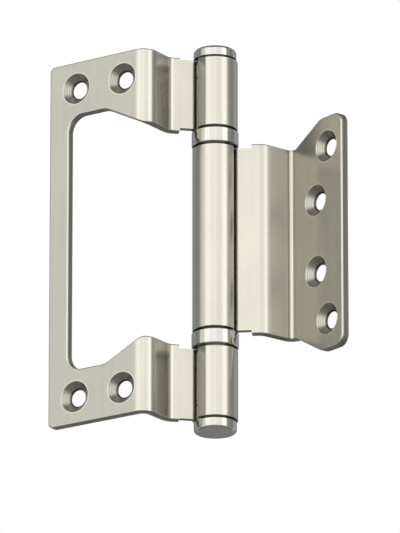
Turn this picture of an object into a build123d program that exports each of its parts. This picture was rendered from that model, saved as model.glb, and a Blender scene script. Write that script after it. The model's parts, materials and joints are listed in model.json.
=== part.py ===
from build123d import *
import os
from math import acos, atan2, cos, degrees, isclose, radians, sin, sqrt, tan

# Sheet of both leaves, the strap that climbs from its wall to the pin, and the barrel it is rolled into
sheet = 2.2
strap_angle = 45.0
strap_bend_radius = 3.0
root_bend_radius = 1.0
barrel_radius = 6.0
roll_gap = 1.4
lip_radius = 0.9
edge_round = 0.4
knuckle_edge_round = 0.2

# Where the pin lies: from the middle of the outer leaf's screws, and behind its mounting face
screws_to_pin = 23.5
crank_depth = 17.8
pin_to_wall = 7.9

# Outer leaf
leaf_height = 100.0
leaf_reach = 39.3
leaf_corner = 1.5
outer_fold_radius = 1.8
screw_spacing_across = 14.7
screw_end_margin = 7.4

# Inner leaf, and how far it stands open from the closed hinge
open_angle = 163.0
tab_reach = 30.5
tab_half_height = 32.0
tab_neck_half_height = 26.2
tab_corner = 3.0
inner_fold_radius = 0.9
tab_flare_start = 11.6
tab_flare_end = 21.75
near_screws_reach = 19.85
near_screws_spacing = 19.7
far_screws_reach = 24.3
far_screw_end_margin = 8.2

# Window in the outer leaf, which the tab nests in
window_side_gap = 3.2
window_end_gap = 2.75
window_corner = 4.5
window_flare_start = 9.9
window_flare_end = 21.45
flare_foot_radius = 2.0
flare_shoulder_radius = 5.0

# Step that sets the rolled part of a leaf back from its wall
knuckle_relief = 1.0
knuckle_end_relief = 0.45
relief_reach = 9.7

# Countersunk screw holes
screw_hole_radius = 2.25
countersink_radius = 4.2
countersink_angle = 90.0

# Pin and end caps
pin_clearance = 0.05
pin_chamfer = 0.4
cap_radius = 5.65
cap_height = 2.7
cap_round = 1.0
cap_neck_radius = 4.9
cap_spigot_length = 4.0
cap_spigot_clearance = 0.02
seam_height = 0.6

# Ball bearings between the knuckles
ring_radius = 6.2
ring_wall = 0.7
ring_edge = 0.2
race_clearance = 0.05
race_neck_radius = 5.0
ball_radius = 0.5
ball_count = 10
ball_clearance = 0.06
groove_depth = 0.15
cage_thickness = 0.5
cage_margin = 0.12

# Sizes that follow from the ones above
bore_radius = barrel_radius - sheet
pin_radius = bore_radius - pin_clearance
roll_radius = barrel_radius - sheet / 2
mid_root_radius = root_bend_radius + sheet / 2
leaf_plane_offset = crank_depth + sheet / 2
wall_offset = pin_to_wall + sheet / 2
root_span = roll_radius + mid_root_radius
strap_end_reach = sqrt(root_span**2 - mid_root_radius**2)
root_lean = degrees(atan2(mid_root_radius, strap_end_reach))
lip_span = root_bend_radius + sheet + roll_gap
lip_turn = degrees(acos((barrel_radius**2 + root_span**2 - lip_span**2) / (2 * barrel_radius * root_span)))
roll_sweep = 360 - lip_turn
leaf_half_height = leaf_height / 2
screw_spacing_along = leaf_height - 2 * screw_end_margin
far_screws_spacing = 2 * (tab_half_height - far_screw_end_margin)
window_half_height = tab_half_height + window_side_gap
window_neck_half_height = tab_neck_half_height + window_side_gap
window_reach = tab_reach + window_end_gap
centre_knuckle_half_height = tab_neck_half_height - knuckle_relief
side_knuckle_inner_end = window_neck_half_height + knuckle_relief
side_knuckle_outer_end = leaf_half_height - knuckle_end_relief
pin_half_length = side_knuckle_outer_end - cap_spigot_length
bearing_height = side_knuckle_inner_end - centre_knuckle_half_height
bearing_level = (side_knuckle_inner_end + centre_knuckle_half_height) / 2
ring_bore = ring_radius - ring_wall
race_bore = pin_radius + race_clearance
race_radius = ring_bore - race_clearance
race_gap = 2 * (ball_radius - groove_depth)
ball_circle = (race_bore + race_radius) / 2
pocket_radius = ball_radius + ball_clearance
clear_of_barrel = 2 * barrel_radius

# Planes: along the pin, as the outer leaf lies, and as the inner leaf lies when it stands open
pin_foot = Vector(screws_to_pin, crank_depth, 0)
pin_axis = Axis(pin_foot, (0, 0, 1))
outer_plan = Plane(pin_foot)
inner_plan = Plane(pin_foot, x_dir=Vector(1, 0, 0).rotate(Axis.Z, open_angle))


def elevation(plan):
    """Plane that looks squarely at a leaf, with the pin as its upright axis."""
    return Plane(plan.origin, x_dir=plan.x_dir, z_dir=-plan.y_dir)


def folded_section(plan, reach, fold_radius, side):
    """One sheet seen along the pin, from its flat to its roll; side is 1 behind the pin, -1 before it."""
    along = Vector(cos(radians(strap_angle)), sin(radians(strap_angle)))
    away = Vector(-along.Y, along.X) * side
    strap_end = along * -strap_end_reach
    root_centre = strap_end + away * mid_root_radius
    roll_start = strap_angle + 180 - side * root_lean
    roll_end = radians(roll_start - side * roll_sweep)
    lip = Vector(cos(roll_end), sin(roll_end)) * barrel_radius
    with BuildSketch(plan) as section:
        with BuildLine():
            FilletPolyline(
                (-reach, -leaf_plane_offset),
                (-wall_offset, -leaf_plane_offset),
                (-wall_offset, -wall_offset * tan(radians(strap_angle))),
                strap_end,
                radius=[fold_radius + sheet / 2, strap_bend_radius + sheet / 2],
            )
            CenterArc(root_centre, mid_root_radius, strap_angle - side * 90, side * (90 - root_lean))
            CenterArc((0, 0), roll_radius, roll_start, -side * roll_sweep)
        trace(line_width=sheet)
        fillet(section.vertices().sort_by_distance(lip)[0], lip_radius)
    return section.sketch


def flared_outline(plan, reach, half_height, neck_half_height, flare_start, flare_end, corner):
    """Tab or window seen squarely: a neck across the barrel that flares to a wider head."""
    with BuildSketch(elevation(plan)) as outline:
        with BuildLine():
            edge = FilletPolyline(
                (clear_of_barrel, neck_half_height),
                (-flare_start, neck_half_height),
                (-flare_end, half_height),
                (-reach, half_height),
                (-reach, -half_height),
                (-flare_end, -half_height),
                (-flare_start, -neck_half_height),
                (clear_of_barrel, -neck_half_height),
                radius=[
                    flare_foot_radius,
                    flare_shoulder_radius,
                    corner,
                    corner,
                    flare_shoulder_radius,
                    flare_foot_radius,
                ],
            )
            Line(edge @ 0, edge @ 1)
        make_face()
    return outline.sketch


def barrel_zone(plan, level):
    """Rectangle over the roll and the stretch of strap beside it, across the pin at one level."""
    down_strap = plan.x_dir.rotate(Axis.Z, 180 + strap_angle)
    with BuildSketch(Plane(plan.origin, x_dir=down_strap).offset(level)) as zone:
        with Locations((relief_reach, 0)):
            Rectangle(relief_reach + clear_of_barrel, 2 * clear_of_barrel, align=(Align.MAX, Align.CENTER))
    return zone.sketch


def free_rim(face, plan):
    """Outer edges of a leaf's flat face, without the lines where it runs into the fold."""
    rim = face.outer_wire().edges()
    return rim - rim.group_by(Axis(plan.origin, plan.x_dir))[-1]


def knuckle_ends(leaf):
    """Round edges at the ends of a leaf's rolled knuckles."""
    rounds = leaf.edges().filter_by(GeomType.CIRCLE)
    return rounds.filter_by(lambda edge: isclose(edge.radius, barrel_radius))


with BuildPart() as outer_leaf:
    extrude(folded_section(outer_plan, leaf_reach, outer_fold_radius, 1), amount=leaf_half_height, both=True)
    with BuildSketch(elevation(outer_plan)) as leaf_outline:
        with Locations((-leaf_reach, 0)):
            Rectangle(leaf_reach + clear_of_barrel, leaf_height, align=(Align.MIN, Align.CENTER))
        fillet(leaf_outline.vertices().group_by(Axis.X)[0], leaf_corner)
    extrude(amount=leaf_reach, both=True, mode=Mode.INTERSECT)
    window = flared_outline(
        outer_plan,
        window_reach,
        window_half_height,
        window_neck_half_height,
        window_flare_start,
        window_flare_end,
        window_corner,
    )
    extrude(window, amount=leaf_reach, both=True, mode=Mode.SUBTRACT)
    middle = barrel_zone(outer_plan, 0)
    extrude(middle, amount=side_knuckle_inner_end, both=True, mode=Mode.SUBTRACT)
    for end in (1, -1):
        beyond = barrel_zone(outer_plan, end * side_knuckle_outer_end)
        extrude(beyond, amount=end * leaf_height, mode=Mode.SUBTRACT)
    leaf_face = outer_leaf.faces().filter_by(Axis.Y).sort_by(Axis.Y)[0]
    fillet(free_rim(leaf_face, outer_plan), edge_round)
    fillet(knuckle_ends(outer_leaf), knuckle_edge_round)
    with Locations(Plane((0, -sheet, 0), x_dir=(1, 0, 0), z_dir=(0, -1, 0))):
        with GridLocations(screw_spacing_across, screw_spacing_along, 2, 2):
            CounterSinkHole(screw_hole_radius, countersink_radius, counter_sink_angle=countersink_angle)

with BuildPart() as inner_leaf:
    extrude(folded_section(inner_plan, tab_reach, inner_fold_radius, -1), amount=tab_half_height, both=True)
    tab = flared_outline(
        inner_plan,
        tab_reach,
        tab_half_height,
        tab_neck_half_height,
        tab_flare_start,
        tab_flare_end,
        tab_corner,
    )
    extrude(tab, amount=leaf_reach, both=True, mode=Mode.INTERSECT)
    for end in (1, -1):
        beyond = barrel_zone(inner_plan, end * centre_knuckle_half_height)
        extrude(beyond, amount=end * leaf_height, mode=Mode.SUBTRACT)
    tab_normal = Axis(pin_foot, inner_plan.y_dir)
    tab_face = inner_leaf.faces().filter_by(tab_normal).sort_by(tab_normal)[-1]
    fillet(free_rim(tab_face, inner_plan), edge_round)
    fillet(knuckle_ends(inner_leaf), knuckle_edge_round)
    tab_origin = inner_plan.from_local_coords((0, -crank_depth, 0))
    with Locations(Plane(tab_origin, x_dir=-inner_plan.x_dir, z_dir=inner_plan.y_dir)):
        with Locations((near_screws_reach, 0)):
            with GridLocations(0, near_screws_spacing, 1, 2):
                CounterSinkHole(screw_hole_radius, countersink_radius, counter_sink_angle=countersink_angle)
        with Locations((far_screws_reach, 0)):
            with GridLocations(0, far_screws_spacing, 1, 2):
                CounterSinkHole(screw_hole_radius, countersink_radius, counter_sink_angle=countersink_angle)

with BuildPart() as hinge_pin:
    with BuildSketch(outer_plan):
        Circle(pin_radius)
    extrude(amount=pin_half_length, both=True)
    chamfer(hinge_pin.edges(), pin_chamfer)

pieces = {"outer_leaf": outer_leaf, "inner_leaf": inner_leaf, "hinge_pin": hinge_pin}

for name, end in (("top", 1), ("bottom", -1)):
    cap_seat = side_knuckle_outer_end + seam_height
    cap_end = cap_seat + cap_height
    spigot_radius = bore_radius - cap_spigot_clearance
    with BuildPart() as end_cap:
        with BuildSketch(elevation(outer_plan)) as cap_section:
            with BuildLine():
                Polyline(
                    (0, end * pin_half_length),
                    (spigot_radius, end * pin_half_length),
                    (spigot_radius, end * side_knuckle_outer_end),
                    (cap_neck_radius, end * side_knuckle_outer_end),
                    (cap_neck_radius, end * cap_seat),
                    (cap_radius, end * cap_seat),
                    (cap_radius, end * cap_end),
                    (0, end * cap_end),
                    close=True,
                )
            make_face()
            fillet(cap_section.vertices().sort_by_distance((cap_radius, end * cap_end))[0], cap_round)
        revolve(axis=pin_axis)
    pieces[f"{name}_end_cap"] = end_cap

for name, end in (("upper", 1), ("lower", -1)):
    level = end * bearing_level

    with BuildPart() as bearing_ring:
        with BuildSketch(elevation(outer_plan)) as ring_section:
            with Locations((ring_radius, level)):
                Rectangle(ring_wall, bearing_height - 2 * seam_height, align=(Align.MAX, Align.CENTER))
            chamfer(ring_section.vertices().group_by(Axis.X)[-1], ring_edge)
        revolve(axis=pin_axis)
    pieces[f"{name}_bearing_ring"] = bearing_ring

    for side_name, side in (("top", 1), ("bottom", -1)):
        with BuildPart() as race:
            with BuildSketch(elevation(outer_plan)):
                with BuildLine():
                    Polyline(
                        (race_bore, level + side * race_gap / 2),
                        (race_radius, level + side * race_gap / 2),
                        (race_radius, level + side * (bearing_height / 2 - seam_height)),
                        (race_neck_radius, level + side * (bearing_height / 2 - seam_height)),
                        (race_neck_radius, level + side * bearing_height / 2),
                        (race_bore, level + side * bearing_height / 2),
                        close=True,
                    )
                make_face()
                with Locations((ball_circle, level)):
                    Circle(pocket_radius, mode=Mode.SUBTRACT)
            revolve(axis=pin_axis)
        pieces[f"{name}_bearing_{side_name}_race"] = race

    with BuildPart() as ball_cage:
        with BuildSketch(outer_plan.offset(level)):
            Circle(race_radius - cage_margin)
            Circle(race_bore + cage_margin, mode=Mode.SUBTRACT)
            with PolarLocations(ball_circle, ball_count):
                Circle(pocket_radius, mode=Mode.SUBTRACT)
        extrude(amount=cage_thickness / 2, both=True)
    pieces[f"{name}_bearing_cage"] = ball_cage

    with BuildPart() as balls:
        with Locations(outer_plan.offset(level)):
            with PolarLocations(ball_circle, ball_count):
                Sphere(ball_radius)
    pieces[f"{name}_bearing_balls"] = balls

os.makedirs("parts", exist_ok=True)
for name, piece in pieces.items():
    piece.part.label = name
    export_step(piece.part, f"parts/{name}.step")
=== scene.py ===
# %% [markdown]
# # A cranked flush hinge in satin nickel
#
# The hinge is two folded sheets on one pin. The outer leaf has a window, and the inner leaf's flared
# tab nests in it when the hinge shuts. Two polished bearing rings sit between the rolled knuckles, and
# a polished cap closes each end of the barrel.
#
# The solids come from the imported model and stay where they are. This lesson gives them their finish,
# a small studio to mirror, and a camera at the angle of the photograph. Lengths are in metres, +Z runs
# up along the pin, and the origin is the middle of the outer leaf's screws, on its mounting face.

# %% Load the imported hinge
import json
import math
import bpy
import numpy as np
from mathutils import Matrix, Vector


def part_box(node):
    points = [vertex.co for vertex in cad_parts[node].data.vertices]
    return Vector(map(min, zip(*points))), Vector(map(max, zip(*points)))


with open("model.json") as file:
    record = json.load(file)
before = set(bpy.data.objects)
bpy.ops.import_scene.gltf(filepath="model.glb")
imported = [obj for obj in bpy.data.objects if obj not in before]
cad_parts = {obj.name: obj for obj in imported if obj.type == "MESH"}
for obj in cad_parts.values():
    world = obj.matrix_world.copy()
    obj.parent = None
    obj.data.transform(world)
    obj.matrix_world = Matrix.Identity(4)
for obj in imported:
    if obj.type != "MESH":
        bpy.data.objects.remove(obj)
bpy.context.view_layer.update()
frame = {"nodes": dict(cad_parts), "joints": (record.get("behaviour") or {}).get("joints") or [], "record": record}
nodes = frame["nodes"]
record = frame["record"]
print("nodes:", ", ".join(sorted(nodes)))

# %% [markdown]
# ## Sizes that the finishes need
#
# A turned ring has its tool marks round the pin, and a countersink has them round its own screw. The
# finishes therefore need the pin's place and each screw's place. They are read from the record, so a
# pattern stays on its hole if the model is packed again with other sizes.

# %% Measure the hinge
MM = 0.001
CONE_WIDTH = 1.95 * MM
mounts = {mount["name"]: mount for mount in record["mounts"]}
swing = next(joint for joint in frame["joints"] if joint["name"] == "leaf_swing")
pin = Vector(swing["pos_m"])
leaf_lowest_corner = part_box("outer_leaf")[0]
sheet = -leaf_lowest_corner.y
outer_screws = mounts["outer_leaf_screws"]["dims"]
hole_radius = outer_screws["hole_r_mm"] * MM
countersink_radius = hole_radius + CONE_WIDTH
tab_axis = Vector(mounts["inner_leaf_near_screws"]["axis"])
tab_run = Vector((tab_axis.y, -tab_axis.x, 0))
tab_back = Vector(mounts["inner_leaf_back"]["pos_m"]).dot(tab_axis)
print(f"pin at {tuple(round(c / MM, 2) for c in pin)} mm, sheet {sheet / MM:.2f} mm")

# %% [markdown]
# ## Arithmetic on sockets
#
# A finish is a small sum: a grain plus some wear, times a tint. Wiring each plus and times by hand is
# slow to read, so one class wraps a node's output and lets Python's own operators add the Math nodes.
# Any other node comes from one method: its settings go in first, because they decide which sockets it
# has, and then the values or links of its sockets.

# %% A socket that can be added and multiplied
class Signal:
    """One output of a shader node; arithmetic on it adds Math nodes to the same material."""

    def __init__(self, tree, socket=None):
        self.tree = tree
        self.socket = socket

    def node(self, kind, settings=None, inputs=None, output=0):
        """Adds a node of that kind: settings first, then a value or a link for each named input."""
        made = self.tree.nodes.new(kind)
        for name, value in (settings or {}).items():
            setattr(made, name, value)
        for name, value in (inputs or {}).items():
            if isinstance(value, Signal):
                self.tree.links.new(value.socket, made.inputs[name])
            else:
                made.inputs[name].default_value = value
        return Signal(self.tree, made.outputs[output] if made.outputs else None)

    def math(self, operation, *terms):
        return self.node("ShaderNodeMath", {"operation": operation}, dict(enumerate(terms)))

    def __add__(self, other):
        return self.math("ADD", self, other)

    __radd__ = __add__

    def __sub__(self, other):
        return self.math("SUBTRACT", self, other)

    def __rsub__(self, other):
        return self.math("SUBTRACT", other, self)

    def __mul__(self, other):
        return self.math("MULTIPLY", self, other)

    __rmul__ = __mul__

    def __pow__(self, other):
        return self.math("POWER", self, other)

    def __abs__(self):
        return self.math("ABSOLUTE", self)

    def most(self, other):
        """The larger of the two, point by point."""
        return self.math("MAXIMUM", self, other)

    def least(self, other):
        """The smaller of the two, point by point."""
        return self.math("MINIMUM", self, other)

    def ramp(self, low, high):
        """Maps low..high to 0..1 along an S-curve, and holds the ends."""
        settings = {"interpolation_type": "SMOOTHSTEP"}
        return self.node("ShaderNodeMapRange", settings, {0: self, 1: low, 2: high})

    def within(self, rise, fall):
        """1 between two limits and 0 outside; each limit is the start and the end of its slope."""
        return self.ramp(*rise) * (1 - self.ramp(*fall))

    def tint(self, low_colour, high_colour):
        """Mixes two colours, with this signal as the factor."""
        inputs = {0: self, 6: (*low_colour, 1), 7: (*high_colour, 1)}
        return self.node("ShaderNodeMix", {"data_type": "RGBA"}, inputs, output=2)

    def over(self, colour, below):
        """Lays a plain colour over another colour signal, with this signal as the factor."""
        inputs = {0: self, 6: below, 7: (*colour, 1)}
        return self.node("ShaderNodeMix", {"data_type": "RGBA"}, inputs, output=2)


def distance(a, b):
    """Length of the side opposite the right angle: the square root of a squared plus b squared."""
    return (a * a + b * b) ** 0.5


print("operators: + - * ** abs, with ramps, limits and tints")

# %% [markdown]
# ## Places on the surface
#
# Every pattern here reads Object coordinates. Each piece's object sits at the origin, so these are the
# hinge's own metres, and the grain stays fixed to the metal when a leaf swings.

# %% Coordinates, streaks and clouds
NOISE_DETAIL = 2.0


def start_material(name):
    """A new material and its Principled shader, with an empty signal to start the sums from."""
    material = bpy.data.materials.new(name)
    material.use_nodes = True
    tree = material.node_tree
    return material, tree.nodes["Principled BSDF"], Signal(tree)


def split(vector):
    """The x, y and z of a vector signal, as three number signals."""
    parts = vector.node("ShaderNodeSeparateXYZ", None, {0: vector}).socket.node.outputs
    return [Signal(vector.tree, socket) for socket in parts]


def place(start):
    """Object coordinates as a vector, and as three numbers in metres."""
    spot = start.node("ShaderNodeTexCoord", output="Object")
    return spot, *split(spot)


def streaks(spot, across, along):
    """Noise drawn out along the pin: so many waves a metre across the grain, and fewer along it."""
    scaled = spot.node("ShaderNodeMapping", None, {0: spot, 3: (across, across, along)})
    inputs = {"Vector": scaled, "Scale": 1.0, "Detail": NOISE_DETAIL}
    return spot.node("ShaderNodeTexNoise", None, inputs)


def clouds(spot, scale, detail=NOISE_DETAIL):
    """Soft even noise of so many waves a metre."""
    return spot.node("ShaderNodeTexNoise", None, {"Vector": spot, "Scale": scale, "Detail": detail})


print("patterns: streaks along the pin, and clouds")

# %% [markdown]
# ## Edges and gaps
#
# Edges are painted brighter, as worn metal and as a painted highlight, and gaps are painted dark as
# painted shade. Both could be painted by hand, but Blender can find them from the shape itself: a bevelled
# normal differs from the true one only on an edge, and a point deep in a gap sees little of the sky around it.

# %% Worn and highlighted edges, shaded gaps and bump
FEELER_SAMPLES = 8
RIM_TURN = (0.02, 0.2)
GAP_OPENNESS = (0.12, 0.7)
LEVEL_FACING = (0.6, 0.9)


def edge_rim(start, radius):
    """1 on an outer edge narrower than the radius: where the rounded normal leaves the true one."""
    rounded = start.node("ShaderNodeBevel", {"samples": FEELER_SAMPLES}, {"Radius": radius})
    true = start.node("ShaderNodeNewGeometry", output="Normal")
    settings = {"operation": "DOT_PRODUCT"}
    agreement = start.node("ShaderNodeVectorMath", settings, {0: rounded, 1: true}, output="Value")
    return (1 - agreement).ramp(*RIM_TURN)


def crevice(start, reach):
    """1 deep in a narrow gap and 0 in the open, from how much of the sky a point sees."""
    settings = {"samples": FEELER_SAMPLES}
    openness = start.node("ShaderNodeAmbientOcclusion", settings, {"Distance": reach}, output="AO")
    return 1 - openness.ramp(*GAP_OPENNESS)


def level_faces(start):
    """1 where the surface faces straight up or down, which stays so when a leaf swings."""
    normal = start.node("ShaderNodeNewGeometry", output="True Normal")
    return abs(split(normal)[2]).ramp(*LEVEL_FACING)


def roughen(shader, start, height, strength, depth):
    """Feeds a height signal to the shader's Normal through one Bump node."""
    inputs = {"Strength": strength, "Distance": depth, "Height": height}
    bump = start.node("ShaderNodeBump", None, inputs)
    start.tree.links.new(bump.socket, shader.inputs["Normal"])


def feed(shader, start, **signals):
    """Links signals to the shader's sockets; the names use _ for a space."""
    for name, signal in signals.items():
        start.tree.links.new(signal.socket, shader.inputs[name.replace("_", " ")])


print("masks: edge_rim, crevice and level_faces")

# %% [markdown]
# ## Countersinks and cut edges
#
# The holes are cut after the sheet is brushed. A countersink shows fine turned rings, painted darker in its
# cone as painted shade, a thin burr round its mouth with a painted highlight, and a dark line of painted
# shade where its cone meets the bore. The sheet's outline and window are sheared, so their edges stay raw
# and rougher than the brushed faces, and are painted darker as painted shade.
#
# All of this could be drawn on a picture of the flat leaf. A formula needs no picture and stays sharp:
# each mark is a band of distances from the nearest screw, or of depths between the sheet's two faces.

# %% Marks round a screw, and the sheet's cut edges, with painted shade and highlight
TURNING_PITCH = 0.42 * MM
BURR_WIDTH = 0.18 * MM
CONE_FADE = 0.97
MOUTH_FADE = 0.1 * MM
BORE_LINE = (0.15 * MM, 0.5 * MM)
FRONT_RISE = (0.1 * MM, 0.2 * MM)
RAW_EDGE_BACK = (0.15 * MM, 0.45 * MM)
RAW_EDGE_FRONT = (sheet - 0.75 * MM, sheet - 0.45 * MM)
FLAT_START = (12.2 * MM, 12.6 * MM)


def from_nearest_screw(run, z, holes):
    """Distance from the axis of the nearest screw; each hole is mirrored to both sides and ends."""
    gaps = [distance(abs(run - middle) - aside, abs(z) - level) for middle, aside, level in holes]
    nearest = gaps[0]
    for gap in gaps[1:]:
        nearest = nearest.least(gap)
    return nearest


def screw_marks(nearest, depth):
    """Masks of the cone, the painted highlight round its mouth and the painted shade at the hole's wall, and the
    wave of the turned rings.
    """
    front = depth.ramp(*FRONT_RISE)
    cone = (1 - nearest.ramp(countersink_radius * CONE_FADE, countersink_radius)) * front
    # Painted highlight on a thin ring round the countersink's mouth
    burr_highlight = (1 - abs(nearest - (countersink_radius + BURR_WIDTH)).ramp(0, BURR_WIDTH)) * front
    # Painted shade on a thin line where the cone meets the hole's wall
    bore_shade = (1 - nearest.ramp(*(hole_radius + width for width in BORE_LINE))) * front
    wave = nearest * (2 * math.pi / TURNING_PITCH)
    return cone, burr_highlight, bore_shade, wave.math("SINE", wave)


# This mask makes the cut edges rougher, and also carries their painted shade
def raw_and_shaded_edges(start, from_pin, depth, nearest):
    """1 on a level face, and on the flat between the sheet's faces, outside the countersinks."""
    past_cone = nearest.ramp(countersink_radius, countersink_radius + MOUTH_FADE)
    upright = depth.within(RAW_EDGE_BACK, RAW_EDGE_FRONT) * from_pin.ramp(*FLAT_START) * past_cone
    return level_faces(start).most(upright)


print(f"countersinks of {countersink_radius / MM:.2f} mm radius, rings every {TURNING_PITCH / MM:.2f} mm")

# %% [markdown]
# ## Satin leaves
#
# Both leaves are stainless sheet with a warm nickel tone. It is brushed along the pin, so the barrel
# mirrors the room in upright bands that are softened but still clear. The seams are painted darker, as painted
# shade.
# The inner leaf's wall, between its tab and its strap, is more matte than the rest, with a dark line of
# painted shade in the fold. The outer leaf's short knuckles are eased inwards along the lip of their roll.
#
# The grain could be an image, but noise drawn out along one axis gives it at any zoom and needs none.

# %% Colours and roughness of the sheet
NICKEL = (0.495, 0.475, 0.405)
NICKEL_DULL = (0.460, 0.446, 0.387)
# Brighter edges: worn metal, and a painted highlight where rounded edges catch the light
WORN_RIM_AND_HIGHLIGHT = (0.90, 0.87, 0.79)
# Painted shade: near-black for the gaps, the line at each hole's wall and the inner fold
PAINTED_SHADE = (0.014, 0.012, 0.010)
# Painted shade in the countersink cones
CONE_SHADE = (0.20, 0.188, 0.160)
# Cut edges: the dark colour is painted shade
CUT_EDGE_SHADE = (0.20, 0.19, 0.165)
TONE_SPREAD = (0.35, 0.65)
FINE_GRAIN = {"across": 5200, "along": 90}
BROAD_GRAIN = {"across": 700, "along": 22}
SHEET_CLOUDS = 70
SHEET_RIM = 0.35 * MM
# How far the painted shade in the gaps reaches, and how much of it shows
SHADE_REACH = 1.2 * MM
SHADE_SHARE = 0.9
GRAIN_HEIGHT = 0.005 * MM

# How strongly each mark shows in the colour, in the roughness and in the height
tone = {
    "cone": 0.38,
    "rings": 0.28,
    "edge": 0.6,
    "edge_streaks": 0.5,
    "rim": 0.6,
    "burr_highlight": 0.45,
    "bore_shade": 0.85,
    "fold": 0.25,
    "fold_streaks": 0.5,
}
matte = {"face": 0.20, "fine": 0.06, "cloud": 0.05, "cone": 0.06, "rim": 0.04, "edge": 0.12, "wall": 0.25}
relief = {"fine": 0.5, "broad": 0.25, "rings": 0.8}
print("face colours:", NICKEL_DULL, "to", NICKEL)

# %% [markdown]
# ## The wall, the fold and the lip
#
# Three marks belong to one leaf each. The wall and the fold are bands of depth, counted from the tab's
# mounting face. The lip is a range of angles round the pin: past its start the height falls away, which
# tilts the normal as a sheet does that is rolled a little tighter at its end. The rounded lip itself is
# in the solid, and this slope is too slight to change the outline, so bump is enough for it.

# %% Bands of depth and of angle
WALL_RISE = (3.5 * MM, 4.5 * MM)
WALL_FALL = (10.0 * MM, 11.0 * MM)
FOLD_RISE = (3.0 * MM, 3.25 * MM)
FOLD_FALL = (3.4 * MM, 3.8 * MM)
WALL_FRONT = (9.0 * MM, 9.5 * MM)
LIP_START = math.radians(9.0)
LIP_END = math.radians(-18.0)
LIP_SOFTNESS = 0.06
LIP_SLOPE = 2.8 * MM


def lip_fall(x, y):
    """How far the lip falls: the slope times the angle past the lip's start, held at its end."""
    turn = x.math("ARCTAN2", x - pin.x, pin.y - y)
    past = turn.math("SMOOTH_MAX", LIP_START - turn, 0.0, LIP_SOFTNESS)
    return past.least(LIP_START - LIP_END) * LIP_SLOPE


print(f"lip eased over {math.degrees(LIP_START - LIP_END):.0f} degrees of the roll")

# %% [markdown]
# ## One finish for both leaves
#
# Each leaf tells the finish where a point lies on it: along the flat, out from the pin, and forward from
# its mounting face. The colour is then laid on in layers: the brushed metal, the cuts with their painted
# shade, the bright edges as wear and painted highlight, and the painted shade in the gaps last.

# %% Brushed sheet
def brushed_sheet(name, place_on_leaf, holes, matte_wall=False, eased_lip=False):
    """Satin sheet; holes are screw places on the flat, and the last two marks are for one leaf each."""
    material, shader, start = start_material(name)
    spot, x, y, z = place(start)
    run, from_pin, depth = place_on_leaf(x, y)
    fine = streaks(spot, **FINE_GRAIN)
    broad = streaks(spot, **BROAD_GRAIN)
    cloud = clouds(spot, SHEET_CLOUDS)
    nearest = from_nearest_screw(run, z, holes)
    cone, burr_highlight, bore_shade, rings = screw_marks(nearest, depth)
    edge = raw_and_shaded_edges(start, from_pin, depth, nearest)
    rim = edge_rim(start, SHEET_RIM)
    # Painted shade where a point sees little of the room
    crevice_shade = crevice(start, SHADE_REACH)

    colour = ((broad + cloud) * 0.5).ramp(*TONE_SPREAD).tint(NICKEL_DULL, NICKEL)
    # Painted shade in each countersink, varying along its turned rings
    colour = (cone * (tone["cone"] + rings * tone["rings"])).over(CONE_SHADE, colour)
    # Painted shade on the cut edges and level faces, streaked along the grain
    colour = (edge * (tone["edge"] + fine * tone["edge_streaks"])).over(CUT_EDGE_SHADE, colour)
    # Painted highlight, partly wear, on the edges, and a painted highlight round each countersink's mouth
    colour = (rim * tone["rim"]).most(burr_highlight * tone["burr_highlight"]).over(WORN_RIM_AND_HIGHLIGHT, colour)
    # Painted shade in the gaps, and a dark line at each hole's wall
    colour = (crevice_shade * SHADE_SHARE).most(bore_shade * tone["bore_shade"]).over(PAINTED_SHADE, colour)
    rough = matte["face"] + fine * matte["fine"] + cloud * matte["cloud"]
    rough = rough + cone * matte["cone"] - rim * matte["rim"] + edge * matte["edge"]
    height = fine * relief["fine"] + broad * relief["broad"] + cone * rings * relief["rings"]
    height = height * GRAIN_HEIGHT

    if matte_wall:
        rough = rough + depth.within(WALL_RISE, WALL_FALL) * matte["wall"]
        # Painted shade: a dark line along the inner fold, where the wall meets the tab
        fold = depth.within(FOLD_RISE, FOLD_FALL) * from_pin.ramp(*WALL_FRONT)
        colour = (fold * (tone["fold"] + broad * tone["fold_streaks"])).over(PAINTED_SHADE, colour)
    if eased_lip:
        height = height - lip_fall(x, y)
    feed(shader, start, Base_Color=colour, Roughness=rough)
    roughen(shader, start, height, strength=1.0, depth=1.0)
    shader.inputs["Metallic"].default_value = 1.0
    return material


def on_outer_leaf(x, y):
    """Along the flat, out from the pin, and forward from the mounting face, which lies at y = 0."""
    return x, pin.x - x, 0 - y


def on_inner_leaf(x, y):
    """The same three lengths on the tab, which stands at an angle."""
    run = x * tab_run.x + y * tab_run.y
    return run, run - pin.dot(tab_run), tab_back - (x * tab_axis.x + y * tab_axis.y)


outer_holes = [(0, outer_screws["spacing_x_mm"] / 2 * MM, outer_screws["spacing_y_mm"] / 2 * MM)]
inner_holes = []
for name in ("inner_leaf_near_screws", "inner_leaf_far_screws"):
    middle = Vector(mounts[name]["pos_m"]).dot(tab_run)
    inner_holes.append((middle, 0, mounts[name]["dims"]["pcd_mm"] / 2 * MM))
satin_outer = brushed_sheet("satin_outer_leaf", on_outer_leaf, outer_holes, eased_lip=True)
satin_inner = brushed_sheet("satin_inner_leaf", on_inner_leaf, inner_holes, matte_wall=True)
print("made", satin_outer.name, "and", satin_inner.name)

# %% [markdown]
# ## Turned and polished rings and caps
#
# The bearing rings and end caps come off a lathe and are then buffed. They mirror the room sharply, and
# under a close light they still show faint tool marks round the pin. The marks depend only on the
# distance from the pin and on the height, so they run round the side and as circles on an end face.

# %% Polished turned steel
POLISH = (0.500, 0.487, 0.440)
POLISH_DULL = (0.475, 0.464, 0.425)
GROUND = (0.52, 0.52, 0.51)
GROUND_DULL = (0.40, 0.40, 0.40)
TOOL_MARKS = 6000
TURNED_CLOUDS = 160
TURNED_RIM = 0.2 * MM
TURNED_RIM_SHARE = 0.5
MARK_TONE = 0.6
CLOUD_TONE = 0.4
MARK_ROUGH = 0.05
CLOUD_ROUGH = 0.03
MARK_STRENGTH = 0.05
MARK_HEIGHT = 0.03 * MM


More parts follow.
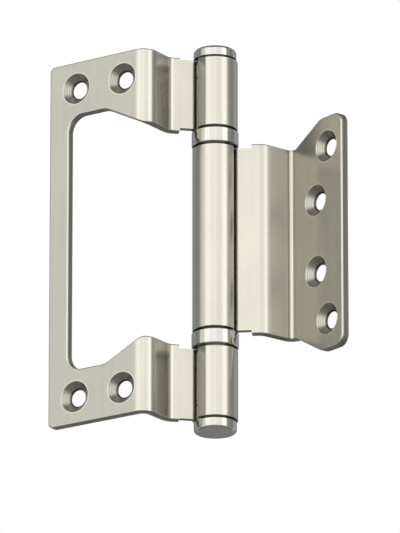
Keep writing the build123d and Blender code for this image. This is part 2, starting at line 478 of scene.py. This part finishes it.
def turned_steel(name, low_colour, high_colour, roughness):
    """Lathe-turned metal: fine noise in height and radius, the same all the way round the pin."""
    material, shader, start = start_material(name)
    spot, x, y, z = place(start)
    radius = distance(x - pin.x, y - pin.y)
    settings = {"noise_dimensions": "1D"}
    inputs = {"W": (z + radius) * TOOL_MARKS, "Scale": 1.0, "Detail": NOISE_DETAIL}
    marks = start.node("ShaderNodeTexNoise", settings, inputs)
    cloud = clouds(spot, TURNED_CLOUDS)
    shade = marks * MARK_TONE + cloud * CLOUD_TONE
    colour = shade.ramp(*TONE_SPREAD).tint(low_colour, high_colour)
    # Painted highlight, partly wear, on the turned edges
    colour = (edge_rim(start, TURNED_RIM) * TURNED_RIM_SHARE).over(WORN_RIM_AND_HIGHLIGHT, colour)
    # Painted shade in the seams between rings, caps and knuckles
    colour = (crevice(start, SHADE_REACH) * SHADE_SHARE).over(PAINTED_SHADE, colour)
    rough = roughness + marks * MARK_ROUGH + cloud * CLOUD_ROUGH
    feed(shader, start, Base_Color=colour, Roughness=rough)
    roughen(shader, start, marks, MARK_STRENGTH, MARK_HEIGHT)
    shader.inputs["Metallic"].default_value = 1.0
    return material


polished = turned_steel("polished_turned_steel", POLISH_DULL, POLISH, roughness=0.07)
ground = turned_steel("ground_bearing_steel", GROUND_DULL, GROUND, roughness=0.2)
print("polished steel for rings and caps, ground steel for the pin, races and balls")

# %% [markdown]
# ## Nylon cage
#
# The cage that spaces the balls is moulded nylon. It is hidden inside the rings, but it shows when the
# bearing is taken apart, so it gets the faint mottling and soft sheen of an unfilled moulding.

# %% Moulded nylon
NYLON = (0.84, 0.82, 0.75)
NYLON_DULL = (0.76, 0.73, 0.64)
MOTTLE_WAVES = 900
MOTTLE_DETAIL = 4.0
NYLON_ROUGH = 0.42
MOTTLE_ROUGH = 0.15
MOTTLE_STRENGTH = 0.15
MOTTLE_HEIGHT = 0.02 * MM


def moulded_nylon(name):
    """Off-white plastic: one fine mottle sets its tone, its sheen and its bump."""
    material, shader, start = start_material(name)
    spot = place(start)[0]
    mottle = clouds(spot, MOTTLE_WAVES, MOTTLE_DETAIL)
    feed(shader, start, Base_Color=mottle.tint(NYLON_DULL, NYLON))
    feed(shader, start, Roughness=NYLON_ROUGH + mottle * MOTTLE_ROUGH)
    roughen(shader, start, mottle, MOTTLE_STRENGTH, MOTTLE_HEIGHT)
    return material


nylon = moulded_nylon("moulded_cage_nylon")
print("made", nylon.name)

# %% [markdown]
# ## Dressing the pieces
#
# The record names a material slot for each piece, so most finishes follow from it. The two leaves share
# a slot but not a finish, because each has its screws and its folds in its own place.

# %% Dress the nodes
finish_of_slot = {"polished_steel": polished, "bearing_steel": ground, "cage_nylon": nylon}
finish_of_leaf = {"outer_leaf": satin_outer, "inner_leaf": satin_inner}
for part in record["subparts"]:
    finish = finish_of_leaf.get(part["node"]) or finish_of_slot[part["material_slot"]]
    slots = nodes[part["node"]].data.materials
    slots.clear()
    slots.append(finish)
    print(f"{part['node']}: {finish.name}")

# %% [markdown]
# ## A small studio for the metal to mirror
#
# Polished metal has hardly any colour of its own: it shows the room. The room here is a white studio
# with grey cards standing round the hinge, as a photographer places them to give a bright barrel its
# dark bands. Each standing card is a patch of a cylinder round the pin. Two grey cloths lie below the
# hinge and one card hangs above it, so that faces which look down or up have something to mirror too.
# Cards and cloths are seen only in reflections.

# %% Cards as surfaces
UP = np.array((0, 0, 1))


def grid_mesh(name, points):
    """Turns a rows by columns by 3 array of points into a quad mesh at the origin."""
    rows, columns = points.shape[:2]
    index = np.arange(rows * columns).reshape(rows, columns)
    quads = np.stack([index[:-1, :-1], index[:-1, 1:], index[1:, 1:], index[1:, :-1]], axis=-1)
    mesh = bpy.data.meshes.new(name)
    mesh.from_pydata(points.reshape(-1, 3).tolist(), [], quads.reshape(-1, 4).tolist())
    piece = bpy.data.objects.new(name, mesh)
    bpy.context.scene.collection.objects.link(piece)
    return piece


def around(azimuth):
    """Unit vectors from the pin to a viewer at that azimuth in degrees: 0 stands at -Y, 90 at +X."""
    turn = np.radians(azimuth)
    return np.stack([np.sin(turn), -np.cos(turn), np.zeros_like(turn)], axis=-1)


def standing_card(name, azimuths, heights, radius, columns=25, rows=9):
    """Patch of a cylinder: pin + radius * around(azimuth) + height * up, over both ranges."""
    turn, rise = np.meshgrid(np.linspace(*azimuths, columns), np.linspace(*heights, rows))
    return grid_mesh(name, np.array(pin) + radius * around(turn) + rise[..., None] * UP)


def lying_card(name, distances, height, columns=49, rows=5):
    """Flat ring, lying level: pin + distance * around(azimuth) + height * up, all the way round."""
    turn, far = np.meshgrid(np.linspace(-180, 180, columns), np.linspace(*distances, rows))
    return grid_mesh(name, np.array(pin) + far[..., None] * around(turn) + height * UP)


def glow(name, colour):
    """A shadeless surface: it shows its colour whatever the light."""
    material = bpy.data.materials.new(name)
    material.use_nodes = True
    tree = material.node_tree
    tree.nodes.clear()
    start = Signal(tree)
    light = start.node("ShaderNodeEmission", None, {"Color": (*colour, 1), "Strength": 1.0})
    start.node("ShaderNodeOutputMaterial", None, {"Surface": light})
    return material


def show_in_mirrors_only(card, colour):
    """Gives a card its shade, and keeps it out of the picture and off the light."""
    card.data.materials.append(glow(card.name, colour))
    card.visible_camera = False
    card.visible_diffuse = False
    card.visible_shadow = False


print("surfaces: standing_card and lying_card")

# %% [markdown]
# ## Where the cards stand
#
# The barrel mirrors the room from left to right, so each card's range of azimuths is a band on it. The
# pale card is brighter than white, as a lit panel is. Cards that stand behind the hinge show at the
# barrel's two edges, and where no card stands the white room shows.

# %% Stand the cards and lay the cloths
CARD_RADIUS = 1.6
CLOTH_HEIGHT = -0.82
CEILING_HEIGHT = 2.0
CLOTH_SEAM = 0.45
CLOTH_RADIUS = 1.40
standing_cards = {
    "left_rear_card": ((-180, -112), (0.29, 0.30, 0.32)),
    "left_grey_card": ((-112, -64), (0.43, 0.46, 0.49)),
    "left_flag": ((-64, -54), (0.27, 0.31, 0.34)),
    "left_half_card": ((-54, -44), (0.60, 0.63, 0.62)),
    "left_pale_card": ((-44, -22), (1.21, 1.23, 1.20)),
    "right_half_card": ((95, 100), (0.80, 0.80, 0.79)),
    "right_grey_card": ((100, 119), (0.46, 0.47, 0.46)),
    "right_flag": ((119, 140), (0.34, 0.36, 0.38)),
    "rear_grey_card": ((140, 180), (0.55, 0.58, 0.61)),
}
for name, (azimuths, colour) in standing_cards.items():
    card = standing_card(name, azimuths, (CLOTH_HEIGHT, CEILING_HEIGHT), CARD_RADIUS)
    show_in_mirrors_only(card, colour)
    print(f"{name}: azimuth {azimuths[0]} to {azimuths[1]} degrees")

lying_cards = {
    "grey_cloth": (CLOTH_HEIGHT, (0, CLOTH_SEAM), (0.36, 0.36, 0.36)),
    "dark_cloth": (CLOTH_HEIGHT, (CLOTH_SEAM, CLOTH_RADIUS), (0.28, 0.28, 0.28)),
    "ceiling_card": (CEILING_HEIGHT, (0, CARD_RADIUS), (0.24, 0.24, 0.24)),
}
for name, (height, distances, colour) in lying_cards.items():
    show_in_mirrors_only(lying_card(name, distances, height), colour)
    print(f"{name}: {distances[0]} to {distances[1]} m from the pin")

# %% [markdown]
# ## Pale floor and white background
#
# The camera looks up at the hinge, so the floor lies well below it. Rays from the camera, and rays that
# a mirror sends, see plain white; all other rays see the softer light that the room really gives. On the
# floor the white is only a share, so that it can still show a soft shadow.

# %% Floor and world
FLOOR_DROP = 1.6
FLOOR_RADIUS = 6.0
FLOOR_COLOUR = (0.92, 0.92, 0.91)
FLOOR_WHITE_SHARE = 0.85
ROOM_LIGHT = 0.6
WHITE = (1, 1, 1, 1)


def seen_directly(start):
    """1 for camera, mirror and glass rays, and 0 for the rays that only carry light."""
    path = start.node("ShaderNodeLightPath").socket.node.outputs
    camera = Signal(start.tree, path["Is Camera Ray"])
    mirror = Signal(start.tree, path["Is Glossy Ray"])
    glass = Signal(start.tree, path["Is Transmission Ray"])
    return camera.most(mirror).most(glass)


def pale_floor(columns=7, rows=49):
    """A disc: each point lies at a distance and an angle from the foot of the frame's upright axis."""
    far, turn = np.meshgrid(np.linspace(0, FLOOR_RADIUS, columns), np.linspace(0, 2 * np.pi, rows))
    points = np.stack([far * np.cos(turn), far * np.sin(turn), np.full_like(far, -FLOOR_DROP)], axis=-1)
    floor = grid_mesh("pale_floor", points[::-1])
    material = bpy.data.materials.new("pale_floor")
    material.use_nodes = True
    tree = material.node_tree
    tree.nodes.clear()
    start = Signal(tree)
    matte = start.node("ShaderNodeBsdfDiffuse", None, {"Color": (*FLOOR_COLOUR, 1)})
    white = start.node("ShaderNodeEmission", None, {"Color": WHITE, "Strength": 1.0})
    share = seen_directly(start) * FLOOR_WHITE_SHARE
    mixed = start.node("ShaderNodeMixShader", None, {0: share, 1: matte, 2: white})
    start.node("ShaderNodeOutputMaterial", None, {"Surface": mixed})
    floor.data.materials.append(material)


def white_room(light_level):
    """World that is white where it is seen, and gives light_level to everything else."""
    world = bpy.data.worlds.new("white_room")
    bpy.context.scene.world = world
    world.use_nodes = True
    tree = world.node_tree
    tree.nodes.clear()
    start = Signal(tree)
    lit = start.node("ShaderNodeBackground", None, {"Color": WHITE, "Strength": light_level})
    seen = start.node("ShaderNodeBackground", None, {"Color": WHITE, "Strength": 1.0})
    mixed = start.node("ShaderNodeMixShader", None, {0: seen_directly(start), 1: lit, 2: seen})
    start.node("ShaderNodeOutputWorld", None, {"Surface": mixed})


pale_floor()
white_room(ROOM_LIGHT)
print("floor", FLOOR_DROP, "m below the screws, room light", ROOM_LIGHT)

# %% [markdown]
# ## Four soft boxes
#
# Tall soft boxes stand in a row on the camera's side. In the metal they add to the white of the room, so
# each one is a brighter upright band. A lamp's power grows with its area, so it is worked out from the
# brightness that the lamp should show.

# %% Lamps
BOX_DISTANCE = 1.5
BOX_ELEVATION = 13
BOX_HEIGHT = 1.8


def direction(azimuth, elevation):
    """Unit vector from the pin to a viewer at that azimuth and elevation in degrees."""
    tilt = math.radians(elevation)
    return Vector(around(np.array(float(azimuth)))) * math.cos(tilt) + Vector((0, 0, math.sin(tilt)))


def soft_box(name, azimuth, width, radiance):
    """A tall lamp that faces the pin; its power is four times radiance times area."""
    data = bpy.data.lights.new(name, "AREA")
    data.shape = "RECTANGLE"
    data.size = width
    data.size_y = BOX_HEIGHT
    data.energy = 4 * radiance * width * BOX_HEIGHT
    lamp = bpy.data.objects.new(name, data)
    bpy.context.scene.collection.objects.link(lamp)
    away = direction(azimuth, BOX_ELEVATION)
    lamp.location = pin + away * BOX_DISTANCE
    lamp.rotation_mode = "QUATERNION"
    lamp.rotation_quaternion = away.to_track_quat("Z", "Y")


soft_boxes = {
    "left_strip": {"azimuth": -8, "width": 0.62, "radiance": 0.75},
    "front_left_box": {"azimuth": 21, "width": 0.92, "radiance": 0.60},
    "front_right_box": {"azimuth": 55, "width": 0.92, "radiance": 0.47},
    "right_strip": {"azimuth": 84, "width": 0.62, "radiance": 0.95},
}
for name, box in soft_boxes.items():
    soft_box(name, **box)
    print(f"{name}: azimuth {box['azimuth']} degrees, {box['width']} m wide")

# %% [markdown]
# ## The photograph's camera
#
# The photograph is almost free of perspective: a long lens from two metres away. It looks up by about
# eighteen degrees and from the right of the outer leaf's face. The middle of the picture lies a little
# to the left of the pin's middle and below it, so the camera aims there, and the lens needs no shift.

# %% Camera
VIEW_AZIMUTH = 33.812
VIEW_ELEVATION = -18.215
VIEW_DISTANCE = 2.0
AIM_RIGHT = -3.985 * MM
AIM_UP = -6.737 * MM
SENSOR_WIDTH = 36.0
LENS = 514.11
VIEW_LIMIT = 50.0

back = direction(VIEW_AZIMUTH, VIEW_ELEVATION)
right = Vector((0, 0, 1)).cross(back).normalized()
up = back.cross(right)
camera_data = bpy.data.cameras.new("camera")
camera_data.sensor_width = SENSOR_WIDTH
camera_data.lens = LENS
camera_data.clip_end = VIEW_LIMIT
camera = bpy.data.objects.new("camera", camera_data)
bpy.context.scene.collection.objects.link(camera)
camera.location = pin + back * VIEW_DISTANCE
aim = pin + right * AIM_RIGHT + up * AIM_UP
camera.rotation_mode = "QUATERNION"
camera.rotation_quaternion = (camera.location - aim).to_track_quat("Z", "Y")
bpy.context.scene.camera = camera
bpy.context.scene.view_settings.view_transform = "Standard"
print("camera at", tuple(round(c, 3) for c in camera.location))
